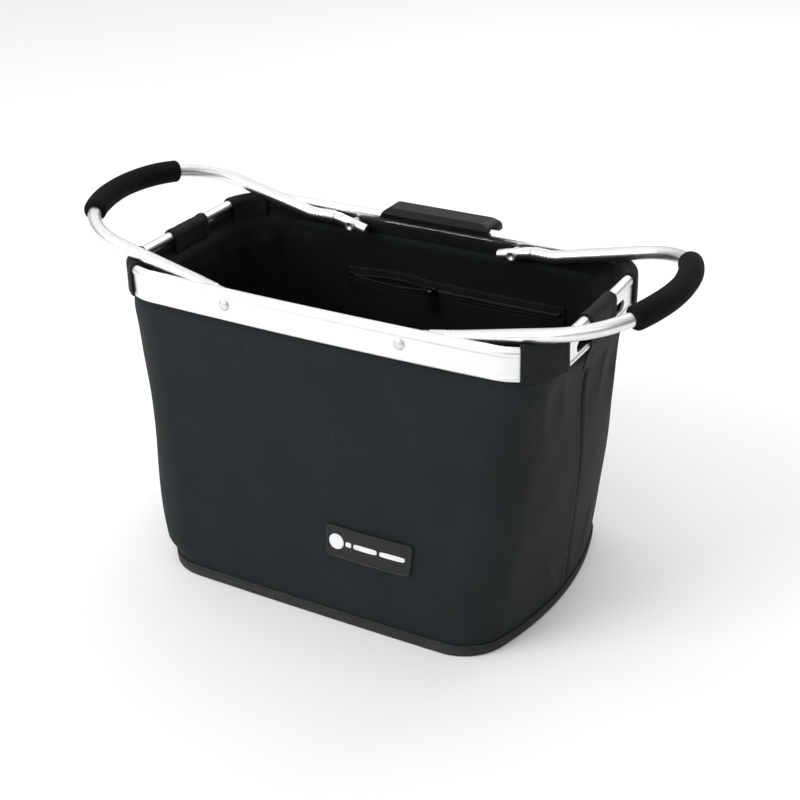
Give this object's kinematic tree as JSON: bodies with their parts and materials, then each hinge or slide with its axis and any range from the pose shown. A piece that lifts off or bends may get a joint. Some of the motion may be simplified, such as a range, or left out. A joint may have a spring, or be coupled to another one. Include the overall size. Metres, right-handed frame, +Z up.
{
  "type": "handlebar basket",
  "caption": "Folding fabric basket hung in an aluminium rim, with swinging carry handles, an inner zip pocket and a rear slide-on plate for a handlebar bracket.",
  "frame": {"origin": "middle of the underside of the base, on the surface the basket stands on", "axes": "+X along the long side, +Y to the back where the handlebar adapter is, +Z up"},
  "size_m": [0.4868, 0.226, 0.2797],
  "materials": {
    "outer_fabric": "charcoal black oxford weave with a coated back",
    "lining_cloth": "near-black plain weave polyester",
    "binding_tape": "ribbed black binding tape with one row of stitches",
    "base_board": "plain black board",
    "badge_rubber": null,
    "satin_aluminium": "bright satin anodised",
    "plated_steel": "bright plated",
    "black_plastic": "fine spark texture",
    "strap_webbing": "twill strap of the outer cloth",
    "grip_foam": "closed-cell foam sleeve, matt",
    "zip_tape": "herringbone woven tape",
    "zip_coil": "nylon coil",
    "zip_metal": "black lacquered zinc"
  },
  "bodies": {
    "bag": {"front_panel": "outer_fabric", "back_panel": "outer_fabric", "lining": "lining_cloth", "base_panel": "lining_cloth", "base_board": "base_board", "base_binding": "binding_tape", "badge": "badge_rubber"},
    "frame": {"frame_rim": "satin_aluminium", "rim_joint_plate": "plated_steel", "adapter_rivets": "plated_steel", "adapter_plate": "black_plastic", "pivot_rivet_front_left": "plated_steel", "pivot_rivet_front_right": "plated_steel", "pivot_rivet_back_left": "plated_steel", "pivot_rivet_back_right": "plated_steel", "pivot_spacer_front_left": "plated_steel", "pivot_spacer_front_right": "plated_steel", "pivot_spacer_back_left": "plated_steel", "pivot_spacer_back_right": "plated_steel", "corner_loop_front_left": "strap_webbing", "corner_loop_front_right": "strap_webbing", "corner_loop_back_left": "strap_webbing", "corner_loop_back_right": "strap_webbing", "mid_loop_left": "strap_webbing", "mid_loop_right": "strap_webbing", "pocket_panel": "lining_cloth", "zip_tape_upper": "zip_tape", "zip_tape_lower": "zip_tape", "zip_coil_upper": "zip_coil", "zip_coil_lower": "zip_coil", "zip_stop_left": "zip_metal", "zip_stop_right": "zip_metal"},
    "handle_left": {"handle_tube_left": "satin_aluminium", "grip_left": "grip_foam", "leg_end_front_left": "satin_aluminium", "leg_end_back_left": "satin_aluminium"},
    "handle_right": {"handle_tube_right": "satin_aluminium", "grip_right": "grip_foam", "leg_end_front_right": "satin_aluminium", "leg_end_back_right": "satin_aluminium"},
    "zip_slider": {"zip_slider": "zip_metal"},
    "zip_pull": {"zip_pull": "zip_metal"}
  },
  "joints": [
    {"name": "frame_collapse", "type": "slide", "parent": "bag", "child": "frame", "axis": [0, 0, 1], "range_m": [-0.15, 0], "deforming": ["front_panel", "back_panel", "lining", "badge", "pocket_panel"]},
    {"name": "left_handle_swing", "type": "hinge", "parent": "frame", "child": "handle_left", "pos_m": [-0.072, 0, 0.236], "axis": [0, 1, 0], "range_deg": [0, 100]},
    {"name": "right_handle_swing", "type": "hinge", "parent": "frame", "child": "handle_right", "pos_m": [0.072, 0, 0.236], "axis": [0, -1, 0], "range_deg": [0, 100]},
    {"name": "zip_slider_travel", "type": "slide", "parent": "frame", "child": "zip_slider", "axis": [1, 0, 0], "range_m": [-0.072, 0.108]},
    {"name": "zip_pull_swing", "type": "hinge", "parent": "zip_slider", "child": "zip_pull", "pos_m": [-0.004, 0.08715, 0.188], "axis": [-1, 0, 0], "range_deg": [0, 120]}
  ]
}
